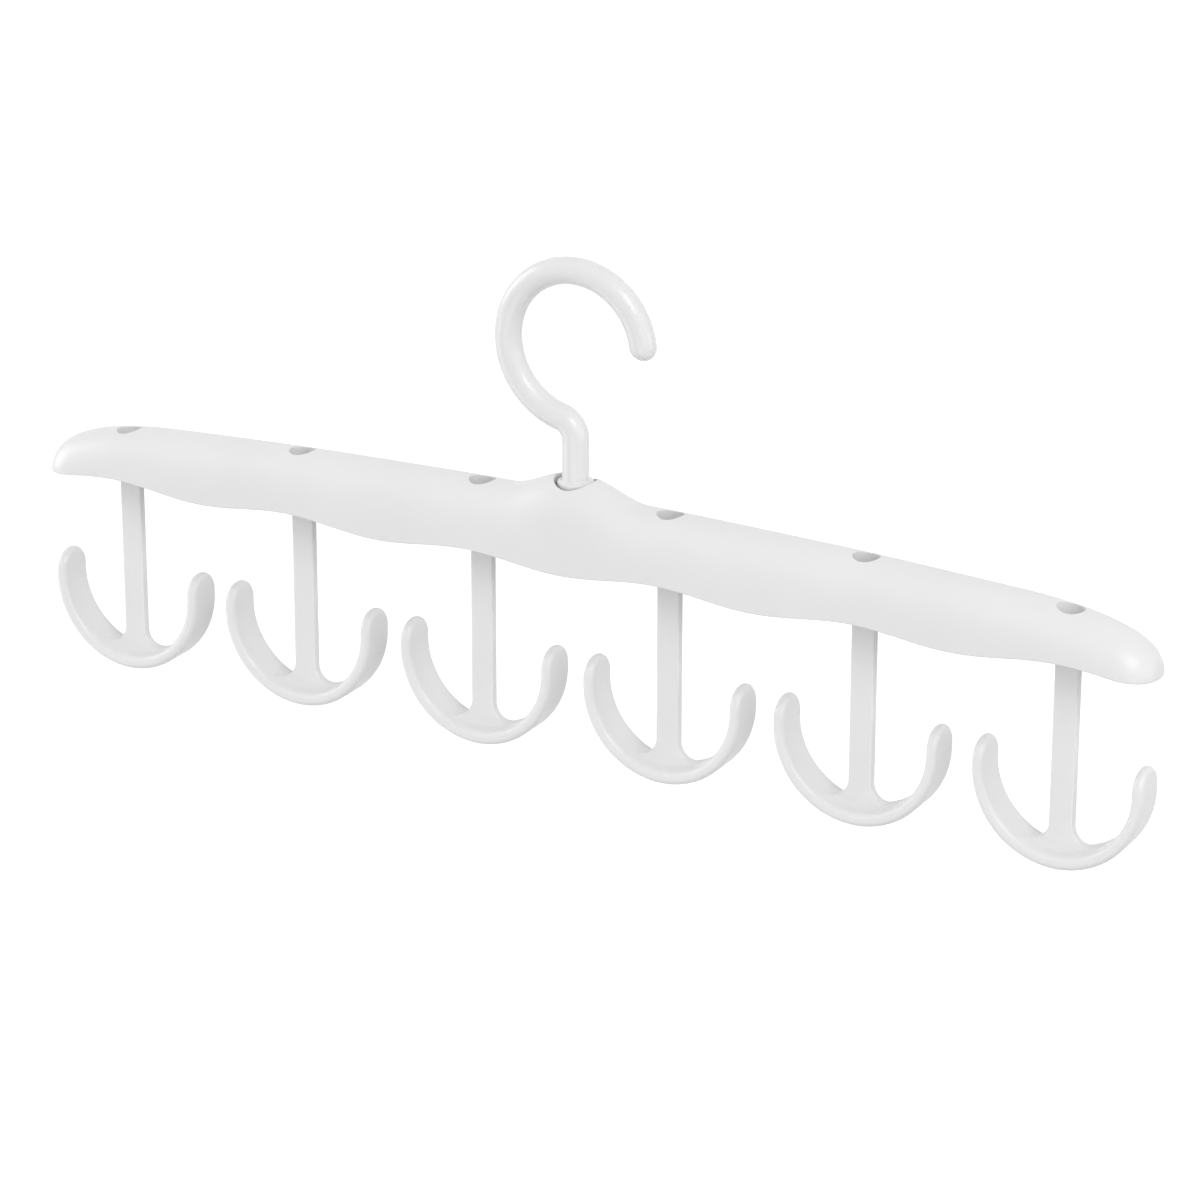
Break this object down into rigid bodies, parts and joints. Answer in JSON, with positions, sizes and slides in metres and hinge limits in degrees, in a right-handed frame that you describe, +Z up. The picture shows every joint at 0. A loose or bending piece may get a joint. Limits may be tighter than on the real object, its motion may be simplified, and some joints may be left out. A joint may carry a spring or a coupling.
{
  "type": "tank top hanger",
  "caption": "White plastic closet hanger with a swivel hook and a hollow bar, under which turn double anchor-shaped hooks for the straps of tank tops.",
  "frame": {"origin": "where the closet rod touches the inside of the swivel hook's ring", "axes": "+X along the bar, to the right seen from the front; +Y to the back; +Z up"},
  "size_m": [0.382, 0.0222, 0.1599],
  "materials": {
    "hook_plastic": "satin, moulded white polypropylene",
    "bar_plastic": "satin, moulded white polypropylene",
    "anchor_plastic": "satin, moulded white polypropylene"
  },
  "bodies": {
    "swivel_hook": {"swivel_hook": "hook_plastic"},
    "bar": {"bar": "bar_plastic"},
    "anchor_hook_1": {"anchor_hook_1": "anchor_plastic"},
    "anchor_hook_2": {"anchor_hook_2": "anchor_plastic"},
    "anchor_hook_3": {"anchor_hook_3": "anchor_plastic"},
    "anchor_hook_4": {"anchor_hook_4": "anchor_plastic"},
    "anchor_hook_5": {"anchor_hook_5": "anchor_plastic"},
    "anchor_hook_6": {"anchor_hook_6": "anchor_plastic"}
  },
  "joints": [
    {"name": "hook_swivel", "type": "hinge", "parent": "swivel_hook", "child": "bar", "pos_m": [0, 0, -0.067], "axis": [0, 0, 1], "continuous": true},
    {"name": "anchor_swivel_1", "type": "hinge", "parent": "bar", "child": "anchor_hook_1", "pos_m": [-0.1625, 0, -0.0791], "axis": [0, 0, 1], "continuous": true},
    {"name": "anchor_swivel_2", "type": "hinge", "parent": "bar", "child": "anchor_hook_2", "pos_m": [-0.0975, 0, -0.0791], "axis": [0, 0, 1], "continuous": true},
    {"name": "anchor_swivel_3", "type": "hinge", "parent": "bar", "child": "anchor_hook_3", "pos_m": [-0.0325, 0, -0.0791], "axis": [0, 0, 1], "continuous": true},
    {"name": "anchor_swivel_4", "type": "hinge", "parent": "bar", "child": "anchor_hook_4", "pos_m": [0.0325, 0, -0.0791], "axis": [0, 0, 1], "continuous": true},
    {"name": "anchor_swivel_5", "type": "hinge", "parent": "bar", "child": "anchor_hook_5", "pos_m": [0.0975, 0, -0.0791], "axis": [0, 0, 1], "continuous": true},
    {"name": "anchor_swivel_6", "type": "hinge", "parent": "bar", "child": "anchor_hook_6", "pos_m": [0.1625, 0, -0.0791], "axis": [0, 0, 1], "continuous": true}
  ]
}
